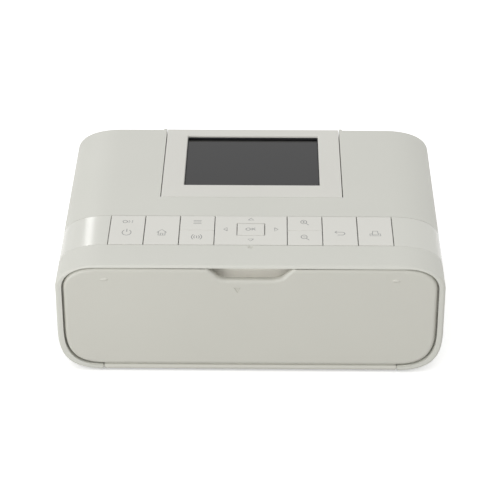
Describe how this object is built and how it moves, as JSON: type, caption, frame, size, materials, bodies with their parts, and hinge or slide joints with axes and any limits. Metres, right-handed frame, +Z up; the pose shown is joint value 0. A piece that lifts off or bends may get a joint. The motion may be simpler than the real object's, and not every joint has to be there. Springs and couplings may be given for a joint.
{
  "type": "compact photo printer",
  "caption": "Low box-shaped dye-sublimation photo printer with a fold-down front door, tilting screen, key row, side door for the ribbon and the print mechanism inside.",
  "frame": {"origin": "middle of the footprint on the desk, at the bottom of the feet", "axes": "+Z up, the front door faces -Y, +X to the right seen from the front"},
  "size_m": [0.1806, 0.1363, 0.0633],
  "materials": {
    "shell_white": "moulded, satin",
    "door_white": "moulded, semi-gloss",
    "key_white": "moulded, semi-gloss",
    "inner_grey": "moulded, matt",
    "dark_plastic": "moulded, matt",
    "screen_glass": "smoked clear window over the picture",
    "steel": "bright zinc-plated",
    "aluminium": "extruded",
    "ceramic": "glazed ceramic",
    "rubber": "matt",
    "dome_rubber": "translucent silicone",
    "board_green": "solder mask",
    "bush_bronze": "sintered bronze",
    "gear_acetal": "moulded acetal",
    "ribbon": "dyed film"
  },
  "bodies": {
    "root": {"top_cover": "shell_white", "base_cover": "shell_white", "rear_cover": "shell_white", "front_frame": "shell_white", "control_strip": "key_white", "key_domes": "dome_rubber", "key_board": "board_green", "bay_frame": "inner_grey", "chassis": "steel", "shaft_bushes": "bush_bronze", "paper_guide": "inner_grey", "main_board": "board_green", "card_board": "board_green", "card_socket": "steel", "usb_socket": "steel", "power_board": "board_green", "dc_socket": "dark_plastic", "fan_frame": "dark_plastic", "drive_motor": "steel", "ink_cassette": "inner_grey", "ribbon_film": "ribbon", "rubber_feet": "rubber", "case_screws": "steel"},
    "front_door": {"front_door": "door_white"},
    "screen": {"screen_frame": "shell_white", "screen_back": "shell_white", "lcd_module": "dark_plastic", "screen_window": "screen_glass", "screen_pins": "steel"},
    "ink_door": {"ink_door": "shell_white"},
    "eject_lever": {"eject_lever": "inner_grey"},
    "power_key": {"power_key": "key_white"},
    "home_key": {"home_key": "key_white"},
    "menu_key": {"menu_key": "key_white"},
    "direction_key": {"direction_key": "key_white"},
    "ok_key": {"ok_key": "key_white"},
    "zoom_key": {"zoom_key": "key_white"},
    "back_key": {"back_key": "key_white"},
    "print_key": {"print_key": "key_white"},
    "platen": {"platen_shaft": "steel", "platen_tyre": "rubber", "platen_gear": "gear_acetal"},
    "capstan": {"capstan_roller": "steel", "capstan_gear": "gear_acetal"},
    "pinch": {"pinch_roller": "rubber"},
    "pickup": {"pickup_shaft": "steel", "pickup_tyres": "rubber", "pickup_gear": "gear_acetal"},
    "motor_rotor": {"motor_pinion": "steel"},
    "idler_a": {"idler_gear_a": "gear_acetal"},
    "idler_b": {"idler_gear_b": "gear_acetal"},
    "idler_c": {"idler_gear_c": "gear_acetal"},
    "takeup": {"ribbon_gear": "gear_acetal", "takeup_spool": "ribbon"},
    "supply": {"supply_spool": "ribbon"},
    "head": {"thermal_head": "ceramic", "head_sink": "aluminium"},
    "fan": {"fan_rotor": "dark_plastic"}
  },
  "joints": [
    {"name": "door_hinge", "type": "hinge", "parent": "root", "child": "front_door", "pos_m": [0, -0.0663, 0.0024], "axis": [1, 0, 0], "range_deg": [0, 90]},
    {"name": "screen_tilt", "type": "hinge", "parent": "root", "child": "screen", "pos_m": [0, -0.00325, 0.05907], "axis": [1, 0, 0], "range_deg": [0, 45]},
    {"name": "ink_door_hinge", "type": "hinge", "parent": "root", "child": "ink_door", "pos_m": [0.0891, 0.028, 0.0235], "axis": [0, 1, 0], "range_deg": [0, 90]},
    {"name": "eject_lever_pivot", "type": "hinge", "parent": "root", "child": "eject_lever", "pos_m": [0.064, 0.0035, 0.0245], "axis": [1, 0, 0], "range_deg": [0, 12]},
    {"name": "power_key_press", "type": "slide", "parent": "root", "child": "power_key", "axis": [0, 0.0454, -0.999], "range_m": [0, 0.0004], "stiffness_N_per_m": 300},
    {"name": "home_key_press", "type": "slide", "parent": "root", "child": "home_key", "axis": [0, 0.0454, -0.999], "range_m": [0, 0.0004], "stiffness_N_per_m": 300},
    {"name": "back_key_press", "type": "slide", "parent": "root", "child": "back_key", "axis": [0, 0.0454, -0.999], "range_m": [0, 0.0004], "stiffness_N_per_m": 300},
    {"name": "print_key_press", "type": "slide", "parent": "root", "child": "print_key", "axis": [0, 0.0454, -0.999], "range_m": [0, 0.0004], "stiffness_N_per_m": 300},
    {"name": "ok_key_press", "type": "slide", "parent": "root", "child": "ok_key", "axis": [0, 0.0454, -0.999], "range_m": [0, 0.0004], "stiffness_N_per_m": 300},
    {"name": "menu_key_rock", "type": "hinge", "parent": "root", "child": "menu_key", "pos_m": [-0.02535, -0.036, 0.05713], "axis": [1, 0, 0], "range_deg": [-1.4, 1.4], "stiffness_Nm_per_rad": 0.5},
    {"name": "zoom_key_rock", "type": "hinge", "parent": "root", "child": "zoom_key", "pos_m": [0.02535, -0.036, 0.05713], "axis": [1, 0, 0], "range_deg": [-1.4, 1.4], "stiffness_Nm_per_rad": 0.5},
    {"name": "direction_key_rock", "type": "hinge", "parent": "root", "child": "direction_key", "pos_m": [0, -0.036, 0.05713], "axis": [1, 0, 0], "range_deg": [-1.4, 1.4], "stiffness_Nm_per_rad": 0.5},
    {"name": "platen_spin", "type": "hinge", "parent": "root", "child": "platen", "pos_m": [0, 0.03, 0.023], "axis": [1, 0, 0], "continuous": true},
    {"name": "capstan_spin", "type": "hinge", "parent": "root", "child": "capstan", "pos_m": [0, 0.057, 0.026], "axis": [1, 0, 0], "continuous": true},
    {"name": "pinch_spin", "type": "hinge", "parent": "root", "child": "pinch", "pos_m": [0, 0.057, 0.0337], "axis": [1, 0, 0], "continuous": true},
    {"name": "pickup_spin", "type": "hinge", "parent": "root", "child": "pickup", "pos_m": [0, -0.004, 0.033], "axis": [1, 0, 0], "continuous": true},
    {"name": "motor_spin", "type": "hinge", "parent": "root", "child": "motor_rotor", "pos_m": [0, 0.01, 0.0152], "axis": [1, 0, 0], "continuous": true},
    {"name": "idler_a_spin", "type": "hinge", "parent": "root", "child": "idler_a", "pos_m": [0, 0.01658, 0.02523], "axis": [1, 0, 0], "continuous": true},
    {"name": "idler_b_spin", "type": "hinge", "parent": "root", "child": "idler_b", "pos_m": [0, 0.04372, 0.01861], "axis": [1, 0, 0], "continuous": true},
    {"name": "idler_c_spin", "type": "hinge", "parent": "root", "child": "idler_c", "pos_m": [0, 0.00789, 0.03463], "axis": [1, 0, 0], "continuous": true},
    {"name": "takeup_spin", "type": "hinge", "parent": "root", "child": "takeup", "pos_m": [0, 0.04445, 0.04], "axis": [1, 0, 0], "continuous": true},
    {"name": "supply_spin", "type": "hinge", "parent": "root", "child": "supply", "pos_m": [0, 0.01555, 0.04], "axis": [1, 0, 0], "continuous": true},
    {"name": "head_press", "type": "slide", "parent": "root", "child": "head", "axis": [0, 0, -1], "range_m": [0, 0.002]},
    {"name": "fan_spin", "type": "hinge", "parent": "root", "child": "fan", "pos_m": [-0.0832, -0.028, 0.034], "axis": [1, 0, 0], "continuous": true}
  ],
  "couplings": [
    {"joint": "idler_a_spin", "follows": "platen_spin", "ratio": -0.88889},
    {"joint": "motor_spin", "follows": "platen_spin", "ratio": 1.3333},
    {"joint": "idler_c_spin", "follows": "platen_spin", "ratio": 1.1429},
    {"joint": "pickup_spin", "follows": "platen_spin", "ratio": -1},
    {"joint": "idler_b_spin", "follows": "platen_spin", "ratio": -0.8},
    {"joint": "capstan_spin", "follows": "platen_spin", "ratio": 0.88889},
    {"joint": "pinch_spin", "follows": "platen_spin", "ratio": -1.0458},
    {"joint": "takeup_spin", "follows": "platen_spin", "ratio": -0.55172},
    {"joint": "supply_spin", "follows": "platen_spin", "ratio": -0.44734}
  ]
}
